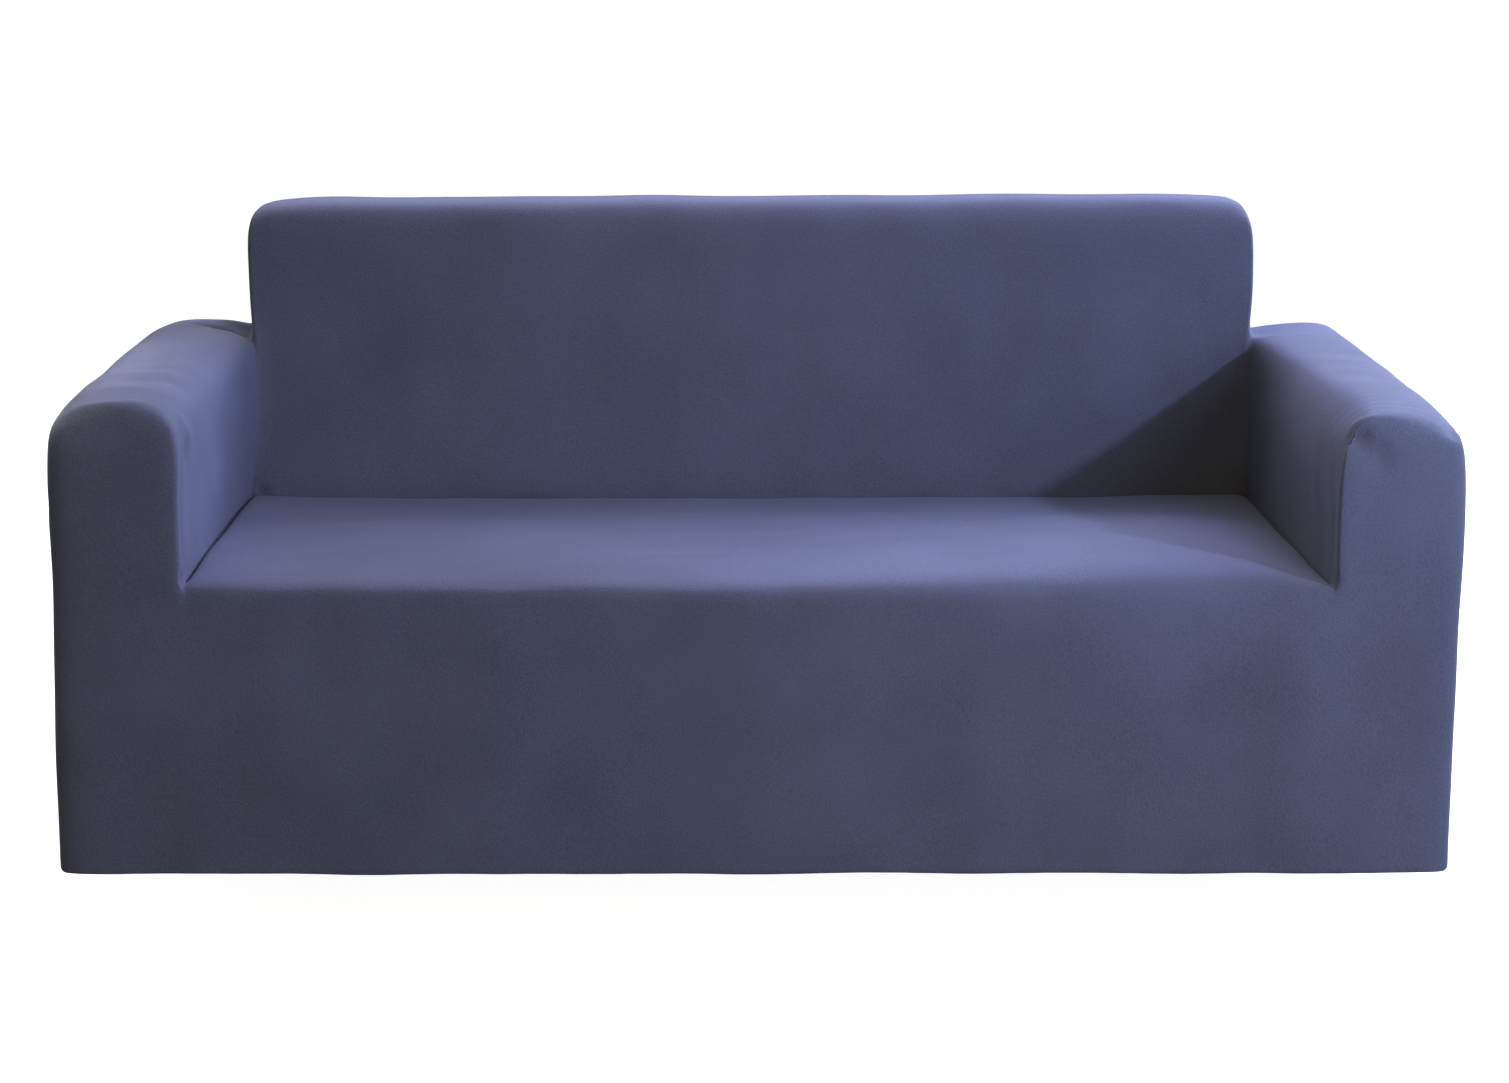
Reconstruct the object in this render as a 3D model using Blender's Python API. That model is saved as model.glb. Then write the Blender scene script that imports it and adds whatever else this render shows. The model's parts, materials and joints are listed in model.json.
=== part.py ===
"""Stretch slipcover for a two-seat sofa: five panels of knit cloth, hollow and open below.

Metres, +Z up, front at -Y, so +X is on the right of someone who faces the sofa.
The origin is in the hem's plane, under the middle of the cover.

The cover is worked out as one soft skin over a plain sofa's form. The skin is a cage of
four-sided faces on named lines, rounded by a subdivision surface. It is then cut along its
seams into the panels that a maker would sew, and each panel gets the thickness of its cloth.
"""

import bpy
import bmesh
from math import pi, radians, sin, tan
from mathutils import Vector

# Overall sizes of the cover as it sits on its sofa
WIDTH = 1.655
DEPTH = 0.815
ARM_WIDTH_LEFT = 0.159    # at -X; the two arms differ a little
ARM_WIDTH_RIGHT = 0.155
ARM_HEIGHT = 0.560
SEAT_HEIGHT = 0.348
SEAT_DEPTH = 0.620
BACK_HEIGHT = 0.733
BACK_LEAN = radians(10.2)

# Cloth and seams
CLOTH = 0.002
SEAM_GAP = 0.0004         # between the cut edges of two panels
TUCK_WIDTH = 0.004        # crease where the seat meets the arms and the back
TUCK_DEPTH = 0.026
TUCK_START = 0.028        # the crease begins this far behind the front
HEM_TURN = 0.030          # cloth turned in under the base

# How far the softness of each edge reaches over the faces beside it
SEAT_SOFT = 0.013
ARM_SOFT = 0.038
BACK_SOFT = 0.042
HEM_SOFT = 0.016

# How far the stuffing falls short of each sharp edge
ARM_TOP_PULL = 0.011
ARM_FRONT_PULL = 0.008
BACK_CORNER_PULL = 0.015
BACK_EDGE_PULL = 0.004
REAR_PULL = 0.005

# Fullness and unevenness of the stuffed shape under the cloth
SEAT_CROWN = 0.011        # rise of the middle of the seat
SEAT_REAR_RISE = 0.002    # the seat rises this much from its front to its rear
SEAT_LIFT_RIGHT = 0.006   # its rear rises this much more towards +X
ARM_CROWN = 0.008         # rise of the middle of an arm's top
ARM_SLUMP_LEFT = 0.006    # the front outer corner of each arm has sunk this much
ARM_SLUMP_RIGHT = 0.022
SLUMP_REACH_LEFT = 0.15   # how far the sunk part runs to the rear
SLUMP_REACH_RIGHT = 0.52
BACK_CROWN = 0.010        # forward swell of the middle of the back
BACK_BULGE_LEFT = 0.0015  # the back's ends stand out over the arms
BACK_BULGE_RIGHT = 0.007
BACK_SPREAD_LEFT = 0.010  # its end at -X stands out this much more at the top
BACK_RISE_RIGHT = 0.006   # the back's top is higher towards +X
SKIRT_DRAW_IN = 0.003     # each side narrows this much towards the hem
PLEAT_DROP_LEFT = 0.030   # hollow of the slack pleat beside the back, on each arm's top
PLEAT_DROP_RIGHT = 0.007
PLEAT_REACH = 0.060       # how far the pleat runs over the arm
PLEAT_START = 0.660       # the pleat deepens behind this line
PLEAT_FADE = 0.050        # and over this length at each end

# Lines of the cage between the edges, and how finely it is rounded
SEAT_LINE = 0.32          # to each side of the middle
DEPTH_LINES = (0.20, 0.41)
SKIRT_LINE = 0.17
ROUNDING_LEVELS = 1
NEAR = 1e-6

# Edges that stay tighter than the rest, and how much (0 soft, 1 sharp)
HEM_CREASE = 0.35
ARM_INNER_CREASE = 0.75
REAR_CREASE = 0.25

PANEL_COLOURS = {
    "front_and_seat": (0.062, 0.070, 0.125),
    "arm_left": (0.068, 0.077, 0.137),
    "arm_right": (0.068, 0.077, 0.137),
    "back": (0.060, 0.068, 0.120),
    "rear": (0.056, 0.064, 0.113),
}


def clear_scene():
    for old in list(bpy.data.objects):
        bpy.data.objects.remove(old, do_unlink=True)


def cloth_material(name, colour):
    material = bpy.data.materials.new(name)
    material.use_nodes = True
    shader = material.node_tree.nodes["Principled BSDF"]
    shader.inputs["Base Color"].default_value = (*colour, 1.0)
    shader.inputs["Roughness"].default_value = 0.85
    shader.inputs["Metallic"].default_value = 0.0
    return material


# Where the form's faces stand
OUTER = WIDTH / 2
INNER_LEFT = OUTER - ARM_WIDTH_LEFT
INNER_RIGHT = OUTER - ARM_WIDTH_RIGHT
SEAT_REAR = SEAT_DEPTH - TUCK_WIDTH
TUCK_FLOOR = SEAT_HEIGHT - TUCK_DEPTH
REAR_SOFT_Y = DEPTH - HEM_TURN


def inner(x):
    """Distance from the middle to the inner face of the arm on the side of x."""
    return INNER_RIGHT if x > 0 else INNER_LEFT


def cage_lines():
    """The cage's lines across, along and up the form, each set in rising order."""
    def half(reach):
        seat_edge = reach - TUCK_WIDTH
        return [SEAT_LINE, seat_edge - SEAT_SOFT, seat_edge, reach, reach + ARM_SOFT, OUTER - ARM_SOFT, OUTER]

    across = [-x for x in reversed(half(INNER_LEFT))] + [0.0] + half(INNER_RIGHT)
    along = [0.0, TUCK_START, *DEPTH_LINES, SEAT_REAR - SEAT_SOFT, SEAT_REAR, SEAT_DEPTH,
             SEAT_DEPTH + BACK_SOFT, REAR_SOFT_Y, DEPTH]
    up = [0.0, HEM_SOFT, SKIRT_LINE, TUCK_FLOOR, SEAT_HEIGHT, ARM_HEIGHT - ARM_SOFT, ARM_HEIGHT,
          ARM_HEIGHT + ARM_SOFT, BACK_HEIGHT - BACK_SOFT, BACK_HEIGHT]
    return across, along, up


def is_filled(x, y, z):
    """Whether the form under the cloth holds this point."""
    if z < 0 or y < 0 or y > DEPTH or abs(x) > OUTER:
        return False
    beside_seat = inner(x) - TUCK_WIDTH < abs(x) < inner(x) and y > TUCK_START
    behind_seat = abs(x) < inner(x) and y > SEAT_REAR
    in_tuck = (beside_seat or behind_seat) and y < SEAT_DEPTH
    if z < TUCK_FLOOR:
        return True
    if z < SEAT_HEIGHT and not in_tuck:
        return True
    if abs(x) > inner(x):
        return z < ARM_HEIGHT
    return y > SEAT_DEPTH and z < BACK_HEIGHT


def smooth_step(value):
    t = min(max(value, 0.0), 1.0)
    return t * t * (3 - 2 * t)


def seat_offset(x, y):
    """Height that the stuffing and the slope add to the seat's top."""
    across = max(1 - (x / inner(x)) ** 2, 0.0)
    along = y / SEAT_REAR
    crown = SEAT_CROWN * across * (0.1 + 0.9 * sin(pi * min(along, 1.0)) ** 0.5)
    lift = SEAT_LIFT_RIGHT * smooth_step(0.5 + x / WIDTH) * smooth_step(along)
    return crown + lift + SEAT_REAR_RISE * smooth_step(along)


def pleat_drop(x, y):
    """Depth of the slack pleat beside the back, on an arm's top."""
    into_arm = (abs(x) - inner(x)) / PLEAT_REACH
    if into_arm < -NEAR or into_arm > 1:
        return 0.0
    drop = PLEAT_DROP_RIGHT if x > 0 else PLEAT_DROP_LEFT
    behind_front = smooth_step((y - PLEAT_START) / PLEAT_FADE)
    before_rear = smooth_step((DEPTH - y) / PLEAT_FADE)
    return drop * (1 - into_arm) * behind_front * before_rear


def arm_slump(x, y):
    """How far the top of an arm has sunk towards its front outer corner."""
    slump, reach = (ARM_SLUMP_RIGHT, SLUMP_REACH_RIGHT) if x > 0 else (ARM_SLUMP_LEFT, SLUMP_REACH_LEFT)
    outward = (abs(x) - inner(x)) / (OUTER - inner(x))
    return slump * smooth_step(outward) * smooth_step(1 - y / reach)


def pulled_in(point, x, y, z):
    """Moves a cage point in where the stuffing falls short of the sharp edges that it lies on."""
    side = 1 if x > 0 else -1
    at_outer = abs(x) > OUTER - NEAR
    at_arm_top = abs(z - ARM_HEIGHT) < NEAR and abs(x) > inner(x) - NEAR
    at_arm_inner = abs(abs(x) - inner(x)) < NEAR and SEAT_HEIGHT + NEAR < z < ARM_HEIGHT + NEAR
    at_front = y < NEAR
    at_back_end = abs(x) > inner(x) - NEAR and z > ARM_HEIGHT + NEAR
    at_back_top = z > BACK_HEIGHT - NEAR
    if at_arm_top and at_outer:
        point += Vector((-side * ARM_TOP_PULL, 0, -ARM_TOP_PULL))
    if at_arm_top and at_arm_inner:
        point += Vector((side * ARM_TOP_PULL, 0, -ARM_TOP_PULL))
    if at_arm_top and at_front:
        point += Vector((0, ARM_FRONT_PULL, -ARM_FRONT_PULL))
    if at_front and at_outer:
        point += Vector((-side * ARM_FRONT_PULL, ARM_FRONT_PULL, 0))
    if y > DEPTH - NEAR and at_outer:
        point += Vector((-side * REAR_PULL, -REAR_PULL, 0))
    if at_back_end and at_back_top:
        point += Vector((-side * BACK_CORNER_PULL, 0, -BACK_CORNER_PULL))
    if at_back_top and abs(y - SEAT_DEPTH) < NEAR:
        point += Vector((0, BACK_EDGE_PULL, -BACK_EDGE_PULL))
    return point


def shaped(x, y, z):
    """The cage point of the stuffed, slightly uneven form for a point of the plain form."""
    on_seat = abs(z - SEAT_HEIGHT) < NEAR and abs(x) < inner(x) - NEAR and y < SEAT_DEPTH - NEAR
    on_arm_top = abs(z - ARM_HEIGHT) < NEAR and abs(x) > inner(x) - NEAR
    on_back_face = abs(y - SEAT_DEPTH) < NEAR and SEAT_HEIGHT < z < BACK_HEIGHT - NEAR
    point = Vector((x, y, z))
    if SEAT_DEPTH - NEAR < y < REAR_SOFT_Y - NEAR and z > SEAT_HEIGHT:
        point.y += (z - SEAT_HEIGHT) * tan(BACK_LEAN)
    if on_seat:
        point.z += seat_offset(x, y)
    if on_arm_top:
        from_middle = (abs(x) - (inner(x) + OUTER) / 2) * 2 / (OUTER - inner(x))
        point.z += ARM_CROWN * (1 - from_middle ** 2) - pleat_drop(x, point.y) - arm_slump(x, y)
    if on_back_face and abs(x) < inner(x) - NEAR:
        up = (z - SEAT_HEIGHT) / (BACK_HEIGHT - SEAT_HEIGHT)
        point.y -= BACK_CROWN * (1 - (x / inner(x)) ** 2) * sin(pi * up) ** 0.5
    if z > ARM_HEIGHT + NEAR:
        point.z += BACK_RISE_RIGHT * smooth_step(0.5 + x / WIDTH)
        if abs(x) > inner(x) - NEAR:
            up = (z - ARM_HEIGHT) / (BACK_HEIGHT - ARM_HEIGHT)
            point.x += BACK_BULGE_RIGHT if x > 0 else -BACK_BULGE_LEFT - BACK_SPREAD_LEFT * up
    low = 1 - smooth_step(z / ARM_HEIGHT)
    point.x *= 1 - SKIRT_DRAW_IN / OUTER * low
    return pulled_in(point, x, y, z)


def face_panel(axis, side, x, y, z):
    """The panel that a face belongs to, from the way it faces and the middle of its plain form."""
    arm = "arm_right" if x > 0 else "arm_left"
    if axis == 0:
        if abs(x) > inner(x) - NEAR and z < ARM_HEIGHT:
            return arm
        return "back" if z > SEAT_HEIGHT else "front_and_seat"
    if axis == 1 and side < 0:
        return "front_and_seat" if y < TUCK_START else "back"
    if axis == 1:
        return "rear" if y > DEPTH - NEAR else "front_and_seat"
    if side > 0:
        if abs(x) > inner(x):
            return arm
        return "back" if z > SEAT_HEIGHT + NEAR else "front_and_seat"
    if y < TUCK_START:
        return "front_and_seat"
    return "rear" if y > REAR_SOFT_Y else arm


def on_hem_turn(x, y):
    return abs(x) > OUTER - ARM_SOFT or y < TUCK_START or y > REAR_SOFT_Y


def edge_crease(a, b):
    """Tightness of the cage edge between two points of the plain form."""
    def both(test):
        return test(a) and test(b)

    at_outer = both(lambda p: abs(p.x) > OUTER - NEAR)
    at_front = both(lambda p: p.y < NEAR)
    at_rear = both(lambda p: p.y > DEPTH - NEAR)
    if both(lambda p: p.z < NEAR) and (at_front or at_rear or at_outer):
        return HEM_CREASE
    if at_front and both(lambda p: abs(abs(p.x) - inner(p.x)) < NEAR and p.z > SEAT_HEIGHT - NEAR):
        return ARM_INNER_CREASE
    if at_rear and at_outer:
        return REAR_CREASE
    return 0.0


def build_cage(panel_names):
    """The skin's cage: a face wherever a filled cell of the form meets an empty one."""
    lines = cage_lines()
    middles = [[(a + b) / 2 for a, b in zip(line, line[1:])] for line in lines]
    beyond = [[line[0] - 1] + middle + [line[-1] + 1] for line, middle in zip(lines, middles)]
    cage = bmesh.new()
    corners = {}
    plain = {}

    def corner(index):
        if index not in corners:
            place = [lines[axis][index[axis]] for axis in range(3)]
            corners[index] = cage.verts.new(shaped(*place))
            plain[corners[index]] = Vector(place)
        return corners[index]

    def add_face(cell, axis, side, panel):
        u, v = (axis + 1) % 3, (axis + 2) % 3
        ring = []
        for du, dv in ((0, 0), (1, 0), (1, 1), (0, 1)):
            index = list(cell)
            index[axis] += side > 0
            index[u] += du
            index[v] += dv
            ring.append(corner(tuple(index)))
        if side < 0:
            ring.reverse()
        cage.faces.new(ring).material_index = panel_names.index(panel)

    cells = [(i, j, k) for i in range(len(middles[0])) for j in range(len(middles[1]))
             for k in range(len(middles[2]))]
    for cell in cells:
        here = [middles[axis][cell[axis]] for axis in range(3)]
        if not is_filled(*here):
            continue
        for axis in range(3):
            for side in (-1, 1):
                beside = list(here)
                beside[axis] = beyond[axis][cell[axis] + 1 + side]
                open_base = axis == 2 and side < 0 and not on_hem_turn(here[0], here[1])
                if is_filled(*beside) or open_base:
                    continue
                middle = list(here)
                middle[axis] = lines[axis][cell[axis] + (side > 0)]
                add_face(cell, axis, side, face_panel(axis, side, *middle))

    crease = cage.edges.layers.float.new("crease_edge")
    for edge in cage.edges:
        edge[crease] = edge_crease(plain[edge.verts[0]], plain[edge.verts[1]])
    return cage


def rounded_skin(cage):
    """The cage rounded by a subdivision surface and set over the origin."""
    mesh = bpy.data.meshes.new("skin")
    cage.to_mesh(mesh)
    cage.free()
    guide = bpy.data.objects.new("skin", mesh)
    bpy.context.collection.objects.link(guide)
    rounding = guide.modifiers.new("Rounding", "SUBSURF")
    rounding.levels = ROUNDING_LEVELS
    rounding.render_levels = ROUNDING_LEVELS
    skin = bmesh.new()
    skin.from_object(guide, bpy.context.evaluated_depsgraph_get())
    bpy.data.objects.remove(guide, do_unlink=True)
    low, high = [Vector([pick(v.co[axis] for v in skin.verts) for axis in range(3)]) for pick in (min, max)]
    centre = (low + high) / 2
    bmesh.ops.translate(skin, verts=skin.verts, vec=(-centre.x, -centre.y, -low.z))
    skin.normal_update()
    skin.verts.index_update()
    return skin


def seam_setback(vert, faces, seam_edges):
    """How a panel's point on a seam moves back along the cloth, away from the panels beside it."""
    inward = []
    for edge in vert.link_edges:
        if edge not in seam_edges:
            continue
        face = next(f for f in edge.link_faces if f in faces)
        along = (edge.verts[1].co - edge.verts[0].co).normalized()
        across = face.normal.cross(along).normalized()
        if across.dot(face.calc_center_median() - edge.verts[0].co) < 0:
            across.negate()
        inward.append(across)
    if not inward:
        return Vector((0, 0, 0))
    spread = 1 + (inward[0].dot(inward[1]) if len(inward) == 2 else 0)
    return sum(inward, Vector((0, 0, 0))) * (SEAM_GAP / 2) / max(spread, 0.3)


def cut_panel(skin, name, index, material):
    """One panel of the skin as a closed sheet as thick as its cloth."""
    faces = {f for f in skin.faces if f.material_index == index}
    edges = {e for f in faces for e in f.edges}
    seam_edges = {e for e in edges if not faces.issuperset(e.link_faces)}
    sheet = bmesh.new()
    outside = {}
    inside = {}
    for vert in {v for f in faces for v in f.verts}:
        place = vert.co + seam_setback(vert, faces, seam_edges)
        outside[vert] = sheet.verts.new(place)
        inside[vert] = sheet.verts.new(place - vert.normal * CLOTH)
    for face in faces:
        sheet.faces.new([outside[v] for v in face.verts])
        sheet.faces.new([inside[v] for v in reversed(face.verts)])
    for edge in edges:
        own = [f for f in edge.link_faces if f in faces]
        if len(own) == 2:
            continue
        a = next(loop.vert for loop in own[0].loops if loop.edge == edge)
        b = edge.other_vert(a)
        # Both panels at a seam split their rims along the same diagonal, so the rims stay parallel
        if a.index < b.index:
            sheet.faces.new((outside[b], outside[a], inside[b]))
            sheet.faces.new((outside[a], inside[a], inside[b]))
        else:
            sheet.faces.new((outside[b], outside[a], inside[a]))
            sheet.faces.new((outside[b], inside[a], inside[b]))
    sheet.normal_update()
    mesh = bpy.data.meshes.new(name)
    sheet.to_mesh(mesh)
    sheet.free()
    mesh.materials.append(material)
    mesh.shade_smooth()
    mesh.set_sharp_from_angle(angle=radians(50))
    bpy.context.collection.objects.link(bpy.data.objects.new(name, mesh))


def main():
    clear_scene()
    names = list(PANEL_COLOURS)
    skin = rounded_skin(build_cage(names))
    for index, name in enumerate(names):
        cut_panel(skin, name, index, cloth_material(name, PANEL_COLOURS[name]))
    skin.free()


main()
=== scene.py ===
import json
from math import cos, pi, radians, sin, tan

import bmesh
import bpy
import numpy as np
from mathutils import Matrix, Vector, kdtree


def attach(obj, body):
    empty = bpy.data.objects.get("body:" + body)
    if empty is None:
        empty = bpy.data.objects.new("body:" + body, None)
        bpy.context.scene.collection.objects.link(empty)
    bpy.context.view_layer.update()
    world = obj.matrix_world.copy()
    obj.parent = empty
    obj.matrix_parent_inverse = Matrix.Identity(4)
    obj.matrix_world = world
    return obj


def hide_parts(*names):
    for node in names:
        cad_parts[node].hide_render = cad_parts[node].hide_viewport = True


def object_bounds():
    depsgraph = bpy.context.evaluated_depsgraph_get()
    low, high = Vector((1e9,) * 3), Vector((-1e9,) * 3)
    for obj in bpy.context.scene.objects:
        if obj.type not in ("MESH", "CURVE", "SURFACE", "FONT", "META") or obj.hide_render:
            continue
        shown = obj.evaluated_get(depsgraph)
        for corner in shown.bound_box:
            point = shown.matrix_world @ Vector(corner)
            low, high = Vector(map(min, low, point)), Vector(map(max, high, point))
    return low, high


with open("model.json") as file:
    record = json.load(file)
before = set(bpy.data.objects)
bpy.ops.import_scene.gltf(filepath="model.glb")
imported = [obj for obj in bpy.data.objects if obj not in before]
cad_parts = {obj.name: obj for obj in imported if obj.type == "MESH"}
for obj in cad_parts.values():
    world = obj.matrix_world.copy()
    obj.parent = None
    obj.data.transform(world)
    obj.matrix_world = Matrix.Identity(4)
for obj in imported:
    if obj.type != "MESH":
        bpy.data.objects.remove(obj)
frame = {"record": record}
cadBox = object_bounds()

cadLow, cadHigh = Vector(cadBox[0]), Vector(cadBox[1])
cadSize = cadHigh - cadLow
print("frame loaded, cover", [round(side, 3) for side in cadSize])

# The stuffed sofa shape under the cloth. x runs across, y from the front to the rear, z up,
# y = 0 is the front and z = 0 the hem. The keys -1 and 1 are the left and right arm.
form = {
    "armWidth": {-1: 0.157, 1: 0.155},
    "armHeight": 0.560,
    "seatHeight": 0.348,
    "seatDepth": 0.620,
    "backHeight": 0.733,
    "backLean": radians(10.2),
    "tuckWidth": 0.002,      # crease round the seat
    "tuckDepth": 0.026,
    "tuckStart": 0.028,
    "hemTurn": 0.030,        # cloth turned in under the base
    "seatSoft": 0.013,       # how far each edge's roundness reaches
    "armSoft": 0.035,
    "backSoft": 0.038,
    "hemSoft": 0.014,
    "armTopPull": 0.0095,    # how far the stuffing falls short of the sharp edges
    "armCornerPull": 0.007,
    "backCorner": 0.029,     # radius of the back's two top corners
    "backEdgePull": {-1: 0.009, 1: 0.014},
    "backShoulderPull": 0.0025,
    "rearPull": 0.005,
    "seatFrontPull": {-1: 0.005, 1: 0.002},
    "seatCornerPull": {-1: 0.004, 1: 0.020},
    "innerReach": {-1: 0.038, 1: 0.140},     # softer inner edge on top of each arm, outwards
    "innerFall": {-1: 0.038, 1: 0.060},      # and down its side
    "innerAtFront": {-1: 0.9, 1: 0.50},      # share of it at the front and beside the back
    "innerAtRear": {-1: 0.9, 1: 0.25},
    "innerFull": 0.06,                       # full from here, slowly less, gone behind the back's face
    "innerEnd": 0.67,
    "innerFade": 0.12,
    "frontRadius": {-1: 0.034, 1: 0.058},    # softer front edge on top of each arm
    "frontAtInner": {-1: 1.0, 1: 0.35},      # share of it that is left beside the inner edge
    "frontDrop": {-1: 0.003, 1: 0.000},
    "frontDropReach": 0.100,
    "joinRadius": 0.028,                     # hollow joint between each arm and the back
    "cornerRoll": {-1: 0.003, 1: 0.008},     # softer outer corner at the front
    "cornerRollReach": 0.090,
    "cornerRollLength": 0.30,
    "cornerDrop": {-1: 0.004, 1: 0.007},
    "cornerDropReach": 0.060,
    "seatCrown": 0.013,
    "seatCrownShape": (0.75, 1.3),           # how it swells from the front and from the rear
    "seatCrownSides": 4,                     # and how fully it reaches the arms
    "seatPlump": 0.018,                      # fuller front half towards the right arm
    "seatPlumpSides": 40,
    "seatPlumpEdge": 0.42,                   # share of it at the front edge, only near the arm
    "seatPlumpEdgeStart": 0.25,
    "seatPlumpEdgeGrowth": 0.35,
    "seatPlumpStart": -0.10,
    "seatPlumpGrowth": 0.55,
    "seatPlumpFront": 0.050,
    "seatPlumpFull": 0.16,
    "seatPlumpFade": 0.36,
    "seatFrontSag": 0.003,
    "seatFrontReach": 0.2,                   # as a share of the seat's depth
    "seatRoll": 0.034,                       # wider front roll towards the right arm
    "seatRollStart": 0.36,
    "seatRollGrowth": 0.22,
    "seatRollEnd": 0.050,
    "seatRearRise": -0.0050,
    "seatSideRise": 0.0015,
    "seatSideDip": {-1: -0.008, 1: 0.007},   # its edge beside each arm sinks halfway along
    "seatSideReach": 0.040,
    "seatLiftRight": 0.0045,
    "armCrown": 0.008,
    "armSlump": {-1: 0.005, 1: 0.018},
    "slumpReach": {-1: 0.15, 1: 0.52},
    "armSag": {-1: -0.0035, 1: 0.007},       # the outer edge sinks halfway along
    "armSagMiddle": {-1: 0.62, 1: 0.43},
    "armSagReach": 0.35,
    "armRearDrop": {-1: 0.003, 1: -0.002},   # the tops sink a little towards the rear
    "armRearDropStart": 0.66,
    "armRearDropGrowth": 0.12,
    "backCrown": 0.010,
    "backBulge": {-1: 0.0015, 1: 0.0062},
    "backSpreadLeft": 0.010,
    "backRiseRight": 0.009,
    "skirtDrawIn": {-1: -0.0015, 1: 0.003},
    "pleatDrop": {-1: 0.030, 1: 0.014},
    "pleatReach": {-1: 0.060, 1: 0.085},
    "pleatStart": 0.650,
    "pleatEnd": {-1: 0.800, 1: 0.900},
    "pleatFade": 0.055,
    "hemCrease": 0.35,       # edges that stay tighter, 0 soft to 1 sharp
    "armInnerCrease": {-1: 0.15, 1: 0.75},
    "rearCrease": 0.25,
    "lineGap": 0.085,        # widest gap between the lines of the cage
    "rounding": 3,
}
near = 1e-6
outer = cadSize.x / 2
depth = cadSize.y
seatRear = form["seatDepth"] - form["tuckWidth"]
tuckFloor = form["seatHeight"] - form["tuckDepth"]
rearSoftY = depth - form["hemTurn"]


def sideOf(x):
    return 1 if x > 0 else -1


def inner(x):
    return outer - form["armWidth"][sideOf(x)]


def smoothStep(value):
    t = np.clip(value, 0.0, 1.0)
    return t * t * (3 - 2 * t)


def withLinesBetween(line):
    filled = [line[0]]
    for a, b in zip(line, line[1:]):
        parts = int((b - a) / form["lineGap"]) + 1
        filled += [a + (b - a) * (i + 1) / parts for i in range(parts)]
    return filled


def cageLines():
    def half(reach):
        seatEdge = reach - form["tuckWidth"]
        return [seatEdge - form["seatSoft"], seatEdge, reach, reach + form["armSoft"],
                outer - form["armSoft"], outer]

    across = [-x for x in reversed(half(inner(-1)))] + [0.0] + half(inner(1))
    along = [0.0, form["tuckStart"], seatRear - form["seatSoft"], seatRear, form["seatDepth"],
             form["seatDepth"] + form["backSoft"], rearSoftY, depth]
    up = [0.0, form["hemSoft"], tuckFloor, form["seatHeight"], form["armHeight"] - form["armSoft"],
          form["armHeight"], form["armHeight"] + form["armSoft"], form["backHeight"] - form["backSoft"],
          form["backHeight"]]
    return [withLinesBetween(line) for line in (across, along, up)]


def isFilled(x, y, z):
    if z < 0 or y < 0 or y > depth or abs(x) > outer:
        return False
    besideSeat = inner(x) - form["tuckWidth"] < abs(x) < inner(x) and y > form["tuckStart"]
    behindSeat = abs(x) < inner(x) and y > seatRear
    inTuck = (besideSeat or behindSeat) and y < form["seatDepth"]
    if z < tuckFloor:
        return True
    if z < form["seatHeight"] and not inTuck:
        return True
    if abs(x) > inner(x):
        return z < form["armHeight"]
    return y > form["seatDepth"] and z < form["backHeight"]


def seatOffset(x, y):
    across = max(1 - (x / inner(x)) ** form["seatCrownSides"], 0.0)
    along = min(y / seatRear, 1.0)
    rising, falling = form["seatCrownShape"]
    peak = rising / (rising + falling)
    crown = form["seatCrown"] * across * (along / peak) ** rising * ((1 - along) / (1 - peak)) ** falling
    sag = form["seatRearRise"] * across * smoothStep(along)
    sag -= form["seatFrontSag"] * across * smoothStep(1 - along / form["seatFrontReach"])
    lift = form["seatLiftRight"] * smoothStep(0.5 + x / (2 * outer)) * smoothStep(along)
    toSide = smoothStep(1 - (inner(x) - abs(x)) / form["seatSideReach"])
    dip = form["seatSideDip"][sideOf(x)] * toSide * sin(pi * along) ** 0.5
    plump = form["seatPlump"] * max(1 - (x / inner(x)) ** form["seatPlumpSides"], 0.0)
    plump *= smoothStep((x - form["seatPlumpStart"]) / form["seatPlumpGrowth"])
    nearArm = smoothStep((x - form["seatPlumpEdgeStart"]) / form["seatPlumpEdgeGrowth"])
    atEdge = form["seatPlumpEdge"] * nearArm
    plump *= atEdge + (1 - atEdge) * smoothStep(y / form["seatPlumpFront"])
    plump *= smoothStep(1 - (y - form["seatPlumpFull"]) / form["seatPlumpFade"])
    return crown + plump + lift + sag - dip + form["seatSideRise"] * smoothStep(along)


def pleatDrop(x, y):
    side = sideOf(x)
    intoArm = (abs(x) - inner(x)) / form["pleatReach"][side]
    if intoArm < -near or intoArm > 1:
        return 0.0
    behindFront = smoothStep((y - form["pleatStart"]) / form["pleatFade"])
    beforeRear = smoothStep((form["pleatEnd"][side] - y) / form["pleatFade"])
    return form["pleatDrop"][side] * (1 - intoArm) * behindFront * beforeRear


def armSlump(x, y):
    side = sideOf(x)
    outward = (abs(x) - inner(x)) / (outer - inner(x))
    slump = form["armSlump"][side] * smoothStep(1 - y / form["slumpReach"][side])
    fromMiddle = abs(y - form["armSagMiddle"][side])
    slump += form["armSag"][side] * smoothStep(1 - fromMiddle / form["armSagReach"])
    return slump * smoothStep(outward)


def between(pair, x):
    share = smoothStep(0.5 + x / (2 * inner(1)))
    return pair[-1] * (1 - share) + pair[1] * share


def arcShift(along, reach, fall=None):
    # moves a point beside a sharp edge onto a quarter round: along > 0 on the top, < 0 down the side
    fall = reach if fall is None else fall
    if along >= reach or -along >= fall:
        return 0.0, 0.0
    angle = pi / 4 * (1 + along / (reach if along > 0 else fall))
    inwards = reach * (1 - cos(angle)) - max(along, 0.0)
    return inwards, -(fall * (1 - sin(angle)) + min(along, 0.0))


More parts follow.
